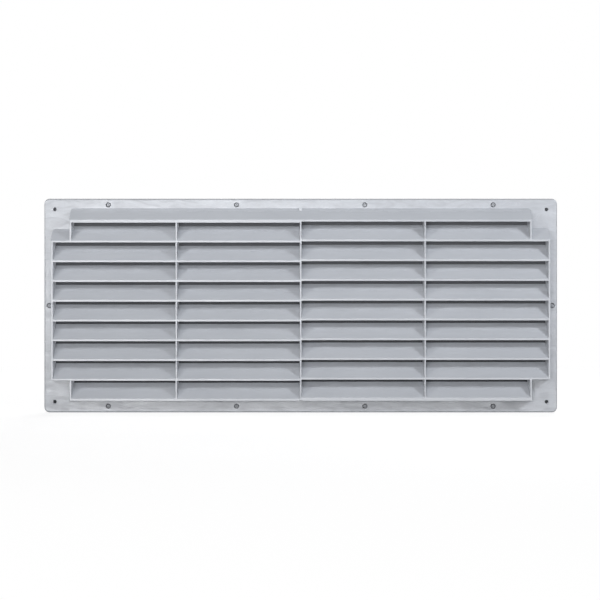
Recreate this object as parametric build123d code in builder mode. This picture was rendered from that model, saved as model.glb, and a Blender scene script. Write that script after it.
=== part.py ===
"""Ventilation grille with fixed rain louvres, moulded in one piece. Sizes are in millimetres.

The grille stands upright, as it hangs on a wall: X runs along its width, Z is up and the louvres
face -Y. The origin is the middle of the flat back face, which lies against the wall.
"""

import os
from math import cos, radians, sin, tan

from build123d import *

# Flange plate
flange_width = 480.0
flange_height = 200.0
flange_thickness = 2.6
flange_corner_radius = 5.0
flange_edge_radius = 1.5

# Raised louvre block, with its margins to the edges of the flange
block_proud = 11.2
block_edge_chamfer = 0.4
root_corner_radius = 2.5
side_margin = 8.2
top_margin = 9.0
bottom_margin = 11.35
side_wall = 2.0
sill_wall = 2.0

# Louvre blades: they rise towards the back, and the right half sits a little higher
rows = 9
blade_angle = 45.0
lip_height = 1.95
lip_flat = 0.6
lip_chamfer = 0.3
hood_lip = 3.0
sill_lip = 2.5
right_half_lift = 1.0

# Upright dividers, thicker towards the back so that the mould draws off
bays_per_half = 2
divider_wall = 1.5
wall_draft_angle = 1.5

# Screw holes in the corners, where the end rows stop short
hole_diameter = 3.5
hole_inset = 10.0
screw_clearance = 15.3

# Ring marks round the rim, V-grooves with a centre dimple, where more screw holes can be drilled
ring_diameter = 4.9
ring_groove = 1.1
ring_depth = 1.1
dimple_diameter = 1.0
dimple_depth = 0.6
ring_rim_inset = 5.8
ring_side_inset = 4.7
rings_per_rim = 4

# Centre marks: a pip at the root of the hood and a notch under the sill
pip_width = 3.0
pip_proud = 2.5
notch_width = 3.0
notch_depth = 1.0

# How far a cutter runs past the face that it opens
overcut = 1.0

# Levels and spans that follow from the sizes above
slope = tan(radians(blade_angle))
draft = tan(radians(wall_draft_angle))
depth = flange_thickness + block_proud
front = -depth
flange_front = -flange_thickness
hood_root = flange_height / 2 - top_margin
hood_edge = hood_root - block_proud * slope
sill_edge = bottom_margin - flange_height / 2
row_pitch = (hood_edge - hood_lip - sill_edge - sill_lip + lip_height) / rows
block_half_width = flange_width / 2 - side_margin
bay_pitch = (block_half_width - side_wall / 2) / bays_per_half
hole_x = flange_width / 2 - hole_inset
hole_z = flange_height / 2 - hole_inset
end_half_width = hole_x - screw_clearance
halves = [(-1, 0.0), (1, right_half_lift)]
ring_pitch = flange_width / rings_per_rim
ring_rim_x = [ring_pitch * (ring - (rings_per_rim - 1) / 2) for ring in range(rings_per_rim)]
ring_rim_z = flange_height / 2 - ring_rim_inset
ring_side_x = flange_width / 2 - ring_side_inset
ring_places = [(x, z) for x in ring_rim_x for z in (-ring_rim_z, ring_rim_z)]
ring_places += [(-ring_side_x, 0), (ring_side_x, 0)]


def gap_top(row, lift):
    """Level of the lip above a row of gaps; the rows count from 0 at the top."""
    return hood_edge - hood_lip + lift - row * row_pitch


def gap_bottom(row, lift):
    """Level of the lip below a row of gaps."""
    return gap_top(row, lift) - row_pitch + lip_height


def underside(y, row, lift):
    """Level of the underside of the blade above a row, at the depth y."""
    return gap_top(row, lift) + (y - front - lip_flat) * slope


def gap_section(row, lift):
    """Section of one gap between two blades, as (y, z), flared by the chamfers of both lips."""
    top = gap_top(row, lift)
    bottom = gap_bottom(row, lift)
    face_y = front + lip_chamfer * cos(radians(blade_angle))
    face_z = bottom + lip_chamfer * sin(radians(blade_angle))
    return [
        (front - overcut, bottom - lip_chamfer),
        (front, bottom - lip_chamfer),
        (face_y, face_z),
        (overcut, bottom + (depth + overcut) * slope),
        (overcut, underside(overcut, row, lift)),
        (front + lip_flat, top),
        (front + lip_chamfer, top),
        (front, top + lip_chamfer),
        (front - overcut, top + lip_chamfer),
    ]


def hollow_section(row, lift, floor):
    """Section of the hollow above a floor and under the blade above a row, as (y, z)."""
    tip_y = front + lip_flat + (floor - gap_top(row, lift)) / slope
    return [(tip_y, floor), (overcut, floor), (overcut, underside(overcut, row, lift))]


def bay_section(start, end):
    """Plan of one bay between two uprights, as (x, y), narrowing to the back by the draft."""
    narrowing = draft * (depth + overcut - lip_chamfer)
    return [
        (start - lip_chamfer, front - overcut),
        (end + lip_chamfer, front - overcut),
        (end + lip_chamfer, front),
        (end, front + lip_chamfer),
        (end - narrowing, overcut),
        (start + narrowing, overcut),
        (start, front + lip_chamfer),
        (start - lip_chamfer, front),
    ]


def bay_spans(side, outer_face):
    """Start and end of each bay of one half, out to the inner face of its side wall."""
    spans = []
    for bay in range(bays_per_half):
        start = bay * bay_pitch + divider_wall / 2
        last = bay == bays_per_half - 1
        end = outer_face if last else (bay + 1) * bay_pitch - divider_wall / 2
        spans.append(sorted((side * start, side * end)))
    return spans


def openings(spans, sections):
    """The spaces that lie in both the given bays and the given sections."""
    with BuildPart() as spaces:
        with BuildSketch(Plane.XY):
            for start, end in spans:
                Polygon(*bay_section(start, end), align=None)
        extrude(amount=flange_height / 2, both=True)
        with BuildSketch(Plane.YZ):
            for section in sections:
                Polygon(*section, align=None)
        extrude(amount=flange_width / 2, both=True, mode=Mode.INTERSECT)
    return spaces.part


def raised_form(start, end, low, edge, root):
    """Outer form from start to end along X: upright front, and a top that slopes to its root."""
    with BuildPart() as form:
        with BuildSketch(Plane.XZ) as outline:
            with Locations(((start + end) / 2, (low + root) / 2)):
                Rectangle(abs(end - start), root - low)
            fillet(outline.vertices().group_by(Axis.Y)[-1], root_corner_radius)
        extrude(amount=depth)
        with BuildSketch(Plane.YZ):
            Polygon(
                (0, low),
                (0, root),
                (flange_front, root),
                (front, edge),
                (front, low),
                align=None,
            )
        extrude(amount=flange_width / 2, both=True, mode=Mode.INTERSECT)
    return form.part


# Outer form of the raised block: full rows, and shorter end rows that leave the corners free
with BuildPart() as block:
    add(raised_form(-end_half_width, end_half_width, sill_edge, hood_edge, hood_root))
    for side, lift in halves:
        shoulder = gap_bottom(0, lift)
        underline = gap_top(rows - 1, lift)
        shoulder_root = shoulder + block_proud * slope
        add(raised_form(0, side * block_half_width, underline, shoulder, shoulder_root))
    chamfer(block.faces().sort_by(Axis.Y)[0].edges(), block_edge_chamfer)

# One ring mark as a cutter below its own XY plane: a V-groove and a pointed dimple
with BuildPart() as ring_mark:
    with BuildSketch(Plane.XZ):
        Polygon(
            (ring_diameter / 2, 0),
            (ring_diameter / 2 - ring_groove, 0),
            (ring_diameter / 2 - ring_groove / 2, -ring_depth),
            align=None,
        )
        Polygon((0, 0), (dimple_diameter / 2, 0), (0, -dimple_depth), align=None)
    revolve(axis=Axis.Z)

# The moulding: flange, block, louvre gaps, hollows, holes and marks
with BuildPart() as grille:
    with BuildSketch(Plane.XZ):
        RectangleRounded(flange_width, flange_height, flange_corner_radius)
    extrude(amount=flange_thickness)
    fillet(grille.faces().sort_by(Axis.Y)[0].edges(), flange_edge_radius)
    add(block.part)

    # Gaps between the blades, through the block and the flange
    for side, lift in halves:
        full_bays = bay_spans(side, block_half_width - side_wall)
        end_bays = bay_spans(side, end_half_width - side_wall)
        full_gaps = [gap_section(row, lift) for row in range(1, rows - 1)]
        end_gaps = [gap_section(row, lift) for row in (0, rows - 1)]
        add(openings(full_bays, full_gaps), mode=Mode.SUBTRACT)
        add(openings(end_bays, end_gaps), mode=Mode.SUBTRACT)

    # Hollows behind the sill and behind the floors of the lower corners, open at the back
    for side, lift in halves:
        sill_bays = bay_spans(side, end_half_width - side_wall)
        sill_hollow = hollow_section(rows, lift, sill_edge + sill_wall)
        add(openings(sill_bays, [sill_hollow]), mode=Mode.SUBTRACT)
        corner_bay = sorted((side * end_half_width, side * (block_half_width - side_wall)))
        corner_floor = gap_top(rows - 1, lift) + sill_wall
        corner_hollow = hollow_section(rows - 1, lift, corner_floor)
        add(openings([corner_bay], [corner_hollow]), mode=Mode.SUBTRACT)

    # Corner screw holes
    with Locations(Plane.XZ.offset(flange_thickness)):
        with GridLocations(2 * hole_x, 2 * hole_z, 2, 2):
            Hole(hole_diameter / 2)

    # Ring marks along the long rims and one at the middle of each short side
    with Locations(Plane.XZ.offset(flange_thickness)):
        with Locations(*ring_places):
            add(ring_mark.part, mode=Mode.SUBTRACT)

    # Centre pip where the hood meets the flange
    with BuildSketch(Plane.YZ):
        Polygon(
            (flange_front, hood_root),
            (flange_front - pip_proud, hood_root),
            (flange_front - pip_proud, hood_root - pip_proud * slope),
            align=None,
        )
    extrude(amount=pip_width / 2, both=True)

    # Centre notch along the underside of the sill
    with BuildSketch(Plane.XZ.offset(flange_thickness)):
        with Locations((0, sill_edge)):
            Rectangle(notch_width, 2 * notch_depth)
    extrude(amount=block_proud + overcut, mode=Mode.SUBTRACT)

grille.part.label = "grille"
os.makedirs("parts", exist_ok=True)
export_step(grille.part, "parts/grille.step")
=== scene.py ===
import math

import bpy
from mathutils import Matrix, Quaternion, Vector

# Looks of a wall ventilation grille: moulded grey plastic in plain soft studio light.
# Lengths are in metres, in the frame of the solids: X along the width, Z up, louvres facing -Y.

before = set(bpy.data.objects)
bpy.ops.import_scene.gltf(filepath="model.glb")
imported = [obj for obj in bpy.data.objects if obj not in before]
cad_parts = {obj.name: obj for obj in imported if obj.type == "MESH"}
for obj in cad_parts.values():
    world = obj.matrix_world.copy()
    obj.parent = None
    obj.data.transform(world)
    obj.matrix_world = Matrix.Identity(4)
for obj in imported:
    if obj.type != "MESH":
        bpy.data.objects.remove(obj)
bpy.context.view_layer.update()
scene = bpy.context.scene

WHITE = (1.0, 1.0, 1.0, 1.0)

# Camera: straight in front of the louvres
CAMERA_PLACE = (-0.00066, -1.270, 0.00520)
CAMERA_LENS_MM = 81.29
CAMERA_SENSOR_MM = 36.0

# Floor at the lower edge of the flange, fading into the white surroundings
FLOOR_LEVEL = -0.100
FLOOR_SIZE = 12.0
FLOOR_FADE_START = 0.20
FLOOR_FADE_END = 0.90
FLOOR_GLOW = 0.84
FLOOR_COLOUR = (0.24, 0.24, 0.243, 1.0)

# Painted shade: a dark sheet just behind the louvres stands in for the shadowed space behind them,
# seen only through the gaps from the front
SPACE_WIDTH = 0.470
SPACE_HEIGHT = 0.190
SPACE_BEHIND = 0.0015
SPACE_SHADE_LOW = (0.055, 0.057, 0.061, 1.0)
SPACE_SHADE_HIGH = (0.142, 0.146, 0.155, 1.0)

# Plastic: two near greys, mixed by clouds and flow streaks, with a satin gloss
GREY_LOW = (0.452, 0.470, 0.505, 1.0)
GREY_HIGH = (0.485, 0.503, 0.538, 1.0)
FLOW_LOW = 0.5
FLOW_HIGH = 0.9
STREAK_SHARE = 0.4
PLASTIC_IOR = 1.5
PLASTIC_SPECULAR = 0.5
ROUGHNESS_LOW = 0.15
ROUGHNESS_HIGH = 0.22

# Noise patterns: stretch along X, features in a metre, detail, roughness, distortion, shift
PATTERNS = {
    "smears": (0.28, 120.0, 3.0, 0.55, 2.2, 0.37),
    "clouds": (1.0, 14.0, 4.0, 0.55, 0.0, 0.0),
    "streaks": (0.25, 90.0, 3.0, 0.5, 0.8, 0.0),
    "patches": (0.5, 30.0, 3.0, 0.5, 0.6, 0.0),
    "waves": (0.55, 42.0, 2.0, 0.45, 1.2, 0.0),
    "lines": (0.03, 420.0, 2.0, 0.6, 0.0, 0.0),
    "grain": (1.0, 900.0, 2.0, 0.5, 0.0, 0.0),
}

# The part of a noise's range that holds nearly all of its values
NOISE_LOW = 0.3
NOISE_HIGH = 0.7

# Skin: height and strength of the slow waves, the lines along the width and the fine grain
SKIN = {
    "waves": (0.0005, 1.0),
    "lines": (0.00006, 1.0),
    "grain": (0.00002, 0.6),
}

# Smears from the flow of the plastic: full on the flange, none on the front of the louvres
SMEAR_START_Y = -0.0080
SMEAR_END_Y = -0.0040
SMEAR_COLOUR = 0.10
SMEAR_DULL = 0.24

# Ring marks: the rim rings stand at one and three times the first distance from the middle
RING_FIRST_X = 0.060
RING_RIM_Z = 0.0942
RING_SIDE_X = 0.2353
RING_RADIUS = 0.0019
RING_FLOOR_Y = -0.0012

# Painted shade in the ring marks: where it starts and where it is full, in groove, centre and
# dimple
GROOVE_START = 0.00055
GROOVE_FULL = 0.000165
CENTRE_FULL = 0.00133
CENTRE_SHARE = 0.50
DIMPLE_START = 0.0005
DIMPLE_FULL = 0.0002
RING_SHADE = 0.62
RING_SHADE_DULL = 0.45
RING_SHADE_COLOUR = (0.075, 0.078, 0.082, 1.0)

# Painted shade along the upper edge of the flange: a darker line on its rounded top
EDGE_SHADE_START_Z = 0.0984
EDGE_SHADE_END_Z = 0.0995
EDGE_SHADE = 0.42
EDGE_SHADE_COLOUR = (0.20, 0.20, 0.20, 1.0)

# Area lights, aimed at the middle line of the grille: angles in degrees, power in watts
LIGHTS = {
    "left_softbox": {
        "place": (-0.60, -0.52, 0.285),
        "aim_height": 0.20,
        "width": 0.10,
        "height": 0.14,
        "spread_angle": 80.0,
        "power": 0.53,
    },
    "right_softbox": {
        "place": (0.66, -0.50, 0.35),
        "aim_height": 0.15,
        "width": 0.13,
        "height": 0.15,
        "spread_angle": 110.0,
        "power": 1.34,
        "colour": (0.945, 0.968, 1.0),
    },
    "upper_panel": {
        "place": (-0.291, -1.30, 0.131),
        "width": 0.73,
        "height": 0.55,
        "roll": 41.8,
        "power": 4.75,
    },
    "front_panel": {
        "place": (-0.10, -2.30, -0.14),
        "width": 2.40,
        "height": 0.68,
        "power": 18.7,
    },
    "back_panel": {
        "place": (0.35, 1.75, 1.05),
        "width": 1.60,
        "height": 1.00,
        "power": 40.0,
        "reflected": False,
    },
}

# Even light from all round, weaker from below the band round the horizon
AMBIENT = 0.106
AMBIENT_FROM_BELOW = 0.8
HORIZON_BAND = 0.5


def add_node(tree, kind, settings=None, values=None):
    """Add a shader node, with its settings and the values of its inputs."""
    made = tree.nodes.new(kind)
    for name, value in (settings or {}).items():
        setattr(made, name, value)
    for name, value in (values or {}).items():
        made.inputs[name].default_value = value
    return made


def new_material(name):
    """A material with an empty node tree that has only its output."""
    material = bpy.data.materials.new(name)
    material.use_nodes = True
    material.node_tree.nodes.clear()
    output = add_node(material.node_tree, "ShaderNodeOutputMaterial")
    return material, material.node_tree, output


def coordinates(tree, kind):
    """One kind of texture coordinates."""
    return add_node(tree, "ShaderNodeTexCoord").outputs[kind]


def split(tree, vector):
    """The X, Y and Z of a vector."""
    axes = add_node(tree, "ShaderNodeSeparateXYZ")
    tree.links.new(vector, axes.inputs["Vector"])
    return [axes.outputs[axis] for axis in "XYZ"]


def math_node(tree, operation, first, second=None):
    """A math node on one or two inputs, each a socket or a number."""
    made = add_node(tree, "ShaderNodeMath", {"operation": operation})
    for index, value in enumerate((first, second)):
        if isinstance(value, (int, float)):
            made.inputs[index].default_value = value
        elif value is not None:
            tree.links.new(value, made.inputs[index])
    return made.outputs["Value"]


def ramp_between(tree, value, start, end, low=0.0, high=1.0, interpolation="LINEAR"):
    """A ramp from low at the start to high at the end, held outside them."""
    made = add_node(
        tree,
        "ShaderNodeMapRange",
        {"interpolation_type": interpolation},
        {"From Min": start, "From Max": end, "To Min": low, "To Max": high},
    )
    tree.links.new(value, made.inputs["Value"])
    return made.outputs["Result"]


def blend(tree, first, second, amount):
    """Mix two colours, each a socket or a value, by an amount from 0 to 1."""
    made = add_node(tree, "ShaderNodeMix", {"data_type": "RGBA"})
    for name, colour in (("A", first), ("B", second)):
        if isinstance(colour, tuple):
            made.inputs[name].default_value = colour
        else:
            tree.links.new(colour, made.inputs[name])
    tree.links.new(amount, made.inputs["Factor"])
    return made.outputs["Result"]


def mix_shaders(tree, amount, first, second):
    """Mix two shaders by an amount from 0 to 1."""
    made = add_node(tree, "ShaderNodeMixShader")
    tree.links.new(amount, made.inputs["Fac"])
    tree.links.new(first, made.inputs[1])
    tree.links.new(second, made.inputs[2])
    return made.outputs["Shader"]


def clear_from_behind(tree, surface):
    """A surface that shows from its front only."""
    behind = add_node(tree, "ShaderNodeNewGeometry").outputs["Backfacing"]
    clear = add_node(tree, "ShaderNodeBsdfTransparent").outputs["BSDF"]
    return mix_shaders(tree, behind, surface, clear)


def pattern(tree, place, name):
    """One of the noise patterns, on object coordinates."""
    stretch, scale, detail, roughness, distortion, shift = PATTERNS[name]
    mapping = add_node(
        tree,
        "ShaderNodeMapping",
        None,
        {"Scale": (stretch, 1.0, 1.0), "Location": (shift, 0.0, shift)},
    )
    tree.links.new(place, mapping.inputs["Vector"])
    texture = add_node(
        tree,
        "ShaderNodeTexNoise",
        None,
        {"Scale": scale, "Detail": detail, "Roughness": roughness, "Distortion": distortion},
    )
    tree.links.new(mapping.outputs["Vector"], texture.inputs["Vector"])
    return texture.outputs["Fac"]


def spread(tree, noise, low, high):
    """Spread the middle of a noise over the range from low to high."""
    return ramp_between(tree, noise, NOISE_LOW, NOISE_HIGH, low, high)


def bump(tree, height, distance, strength, normal=None):
    """A bump from a height texture, on top of an earlier normal."""
    made = add_node(tree, "ShaderNodeBump", None, {"Distance": distance, "Strength": strength})
    tree.links.new(height, made.inputs["Height"])
    if normal is not None:
        tree.links.new(normal, made.inputs["Normal"])
    return made.outputs["Normal"]


def reach_from(tree, across, up):
    """Length of a step across and up."""
    squares = [math_node(tree, "MULTIPLY", value, value) for value in (across, up)]
    return math_node(tree, "SQRT", math_node(tree, "ADD", *squares))


def painted_ring_shade(tree, x, y, z):
    """How much painted shade darkens the ring marks, on the front only."""
    half = math_node(tree, "ABSOLUTE", x)
    folded = math_node(tree, "PINGPONG", half, RING_FIRST_X)
    rim_across = math_node(tree, "SUBTRACT", folded, RING_FIRST_X)
    rim_up = math_node(tree, "SUBTRACT", math_node(tree, "ABSOLUTE", z), RING_RIM_Z)
    side_across = math_node(tree, "SUBTRACT", half, RING_SIDE_X)
    rim_reach = reach_from(tree, rim_across, rim_up)
    side_reach = reach_from(tree, side_across, z)
    reach = math_node(tree, "MINIMUM", rim_reach, side_reach)
    off_line = math_node(tree, "ABSOLUTE", math_node(tree, "SUBTRACT", reach, RING_RADIUS))
    groove = ramp_between(tree, off_line, GROOVE_START, GROOVE_FULL)
    dimple = ramp_between(tree, reach, DIMPLE_START, DIMPLE_FULL)
    disc = ramp_between(tree, reach, RING_RADIUS, CENTRE_FULL)
    centre = math_node(tree, "MULTIPLY", disc, CENTRE_SHARE)
    lines = math_node(tree, "MAXIMUM", groove, dimple)
    marks = math_node(tree, "MAXIMUM", lines, centre)
    front = math_node(tree, "LESS_THAN", y, RING_FLOOR_Y)
    return math_node(tree, "MULTIPLY", math_node(tree, "MULTIPLY", marks, front), RING_SHADE)


def plastic_colour(tree, place, z, smears, on_flange, ring_shade_mask):
    """Cool grey with faint clouds and streaks, smears, painted shade in the ring marks and a
    painted shade line along the upper edge.
    """
    clouds = pattern(tree, place, "clouds")
    streaks = math_node(tree, "MULTIPLY", pattern(tree, place, "streaks"), STREAK_SHARE)
    flow = math_node(tree, "ADD", streaks, clouds)
    grey = blend(tree, GREY_LOW, GREY_HIGH, ramp_between(tree, flow, FLOW_LOW, FLOW_HIGH))
    paler = spread(tree, smears, -SMEAR_COLOUR, SMEAR_COLOUR)
    change = math_node(tree, "ADD", math_node(tree, "MULTIPLY", paler, on_flange), 1.0)
    smeared = add_node(tree, "ShaderNodeVectorMath", {"operation": "SCALE"})
    tree.links.new(grey, smeared.inputs["Vector"])
    tree.links.new(change, smeared.inputs["Scale"])
    # Painted shade: the ring marks' grooves, centres and dimples are darkened where shade falls
    ring_shaded_colour = blend(tree, smeared.outputs["Vector"], RING_SHADE_COLOUR, ring_shade_mask)
    # Painted shade: a darker line along the rounded upper edge of the flange
    edge_shade = math_node(tree, "MULTIPLY", ramp_between(tree, z, EDGE_SHADE_START_Z, EDGE_SHADE_END_Z), EDGE_SHADE)
    return blend(tree, ring_shaded_colour, EDGE_SHADE_COLOUR, edge_shade)


def plastic_roughness(tree, place, smears, on_flange, ring_shade_mask):
    """Satin, uneven in slow patches, duller between the smears and in the painted ring shade."""
    patches = spread(tree, pattern(tree, place, "patches"), ROUGHNESS_LOW, ROUGHNESS_HIGH)
    dull = math_node(tree, "MULTIPLY", spread(tree, smears, SMEAR_DULL, 0.0), on_flange)
    satin = math_node(tree, "ADD", patches, dull)
    return math_node(tree, "ADD", satin, math_node(tree, "MULTIPLY", ring_shade_mask, RING_SHADE_DULL))


def plastic_skin(tree, place):
    """Slow waves from moulding, fine lines along the width, then a fine grain."""
    normal = None
    for name, (distance, strength) in SKIN.items():
        normal = bump(tree, pattern(tree, place, name), distance, strength, normal)
    return normal


def grey_plastic():
    """Satin grey moulded plastic, with painted shade in the ring marks and along the upper edge."""
    material, tree, output = new_material("grey_plastic_moulded")
    place = coordinates(tree, "Object")
    x, y, z = split(tree, place)
    smears = pattern(tree, place, "smears")
    on_flange = ramp_between(tree, y, SMEAR_START_Y, SMEAR_END_Y)
    # Painted shade mask for the ring marks, also used to dull them
    ring_shade_mask = painted_ring_shade(tree, x, y, z)
    shader = add_node(
        tree,
        "ShaderNodeBsdfPrincipled",
        None,
        {"IOR": PLASTIC_IOR, "Specular IOR Level": PLASTIC_SPECULAR},
    )
    looks = {
        "Base Color": plastic_colour(tree, place, z, smears, on_flange, ring_shade_mask),
        "Roughness": plastic_roughness(tree, place, smears, on_flange, ring_shade_mask),
        "Normal": plastic_skin(tree, place),
    }
    for name, value in looks.items():
        tree.links.new(value, shader.inputs[name])
    tree.links.new(shader.outputs["BSDF"], output.inputs["Surface"])
    return material


def plane(name, width, height, material):
    """A flat rectangle in its own XY plane, facing +Z."""
    mesh = bpy.data.meshes.new(name)
    x = width / 2
    y = height / 2
    corners = [(-x, -y, 0.0), (x, -y, 0.0), (x, y, 0.0), (-x, y, 0.0)]
    mesh.from_pydata(corners, [], [(0, 1, 2, 3)])
    mesh.materials.append(material)
    made = bpy.data.objects.new(name, mesh)
    scene.collection.objects.link(made)
    return made


def add_floor():
    """Pale floor with the grille's soft shadow, white away from the grille and clear from below."""
    material, tree, output = new_material("pale_floor")
    reach = add_node(tree, "ShaderNodeVectorMath", {"operation": "LENGTH"})
    tree.links.new(coordinates(tree, "Object"), reach.inputs["Vector"])
    fade = ramp_between(
        tree,
        reach.outputs["Value"],
        FLOOR_FADE_START,
        FLOOR_FADE_END,
        interpolation="SMOOTHSTEP",
    )
    lit = add_node(tree, "ShaderNodeBsdfDiffuse", None, {"Color": FLOOR_COLOUR})
    glow = add_node(tree, "ShaderNodeEmission", None, {"Color": WHITE, "Strength": FLOOR_GLOW})
    near = add_node(tree, "ShaderNodeAddShader")
    tree.links.new(lit.outputs["BSDF"], near.inputs[0])
    tree.links.new(glow.outputs["Emission"], near.inputs[1])
    far = add_node(tree, "ShaderNodeEmission", None, {"Color": WHITE, "Strength": 1.0})
    surface = mix_shaders(tree, fade, near.outputs["Shader"], far.outputs["Emission"])
    tree.links.new(clear_from_behind(tree, surface), output.inputs["Surface"])

    floor = plane("floor", FLOOR_SIZE, FLOOR_SIZE, material)
    floor.location = (0.0, 0.0, FLOOR_LEVEL)
    floor.visible_diffuse = False
    floor.visible_glossy = False
    floor.visible_shadow = False


def add_space_behind():
    """A sheet painted with shade for the space behind the gaps, lighter towards its top: dark from
    the front, clear from behind.
    """
    material, tree, output = new_material("dim_space")
    _, up, _ = split(tree, coordinates(tree, "Object"))
    rise = ramp_between(tree, up, -SPACE_HEIGHT / 2, SPACE_HEIGHT / 2)
    dark = add_node(tree, "ShaderNodeBsdfDiffuse")
    tree.links.new(blend(tree, SPACE_SHADE_LOW, SPACE_SHADE_HIGH, rise), dark.inputs["Color"])
    tree.links.new(clear_from_behind(tree, dark.outputs["BSDF"]), output.inputs["Surface"])

    # Painted shade sheet, standing in for the shadowed space behind the louvres
    space = plane("space_behind", SPACE_WIDTH, SPACE_HEIGHT, material)
    space.location = (0.0, SPACE_BEHIND, 0.0)
    space.rotation_euler = (math.pi / 2, 0.0, 0.0)
    space.visible_diffuse = False
    space.visible_glossy = False
    space.visible_transmission = False
    space.visible_shadow = False


def add_light(
    name,
    place,
    width,
    height,
    power,
    aim_height=0.0,
    roll=0.0,
    spread_angle=180.0,
    colour=WHITE[:3],
    reflected=True,
):
    """A rectangular area light aimed at the grille's middle line, not itself in view."""
    lamp = bpy.data.lights.new(name, "AREA")
    lamp.shape = "RECTANGLE"
    lamp.size = width
    lamp.size_y = height
    lamp.spread = math.radians(spread_angle)
    lamp.energy = power
    lamp.color = colour
    made = bpy.data.objects.new(name, lamp)
    made.location = place
    aim = (Vector((0.0, 0.0, aim_height)) - Vector(place)).to_track_quat("-Z", "Y")
    made.rotation_mode = "QUATERNION"
    made.rotation_quaternion = aim @ Quaternion((0.0, 0.0, 1.0), math.radians(roll))
    made.visible_camera = False
    made.visible_glossy = reflected
    scene.collection.objects.link(made)


def add_world():
    """White surroundings in view, with a weaker even light from all round."""
    world = bpy.data.worlds.new("studio")
    world.use_nodes = True
    tree = world.node_tree
    tree.nodes.clear()
    in_view = add_node(tree, "ShaderNodeLightPath").outputs["Is Camera Ray"]
    seen = add_node(tree, "ShaderNodeBackground", None, {"Color": WHITE, "Strength": 1.0})
    ambient = add_node(tree, "ShaderNodeBackground", None, {"Color": WHITE})
    _, _, up = split(tree, coordinates(tree, "Generated"))
    from_below = AMBIENT * AMBIENT_FROM_BELOW
    strength = ramp_between(tree, up, -HORIZON_BAND, HORIZON_BAND, from_below, AMBIENT)
    tree.links.new(strength, ambient.inputs["Strength"])
    both = mix_shaders(tree, in_view, ambient.outputs["Background"], seen.outputs["Background"])
    output = add_node(tree, "ShaderNodeOutputWorld")
    tree.links.new(both, output.inputs["Surface"])
    scene.world = world


def add_camera():
    """The camera of the main view."""
    lens = bpy.data.cameras.new("camera")
    lens.sensor_fit = "HORIZONTAL"
    lens.sensor_width = CAMERA_SENSOR_MM
    lens.lens = CAMERA_LENS_MM
    camera = bpy.data.objects.new("camera", lens)
    camera.location = CAMERA_PLACE
    camera.rotation_euler = (math.pi / 2, 0.0, 0.0)
    scene.collection.objects.link(camera)
    scene.camera = camera


# The object: the moulding in its plastic
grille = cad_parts["grille"]
plastic = grey_plastic()
for holder in grille.material_slots:
    holder.material = plastic

# The studio, with plain colours and without the light tree, which is noisy with so few lights
scene.view_settings.view_transform = "Standard"
scene.cycles.use_light_tree = False
add_floor()
add_space_behind()
for light_name, light_values in LIGHTS.items():
    add_light(light_name, **light_values)
add_world()
add_camera()
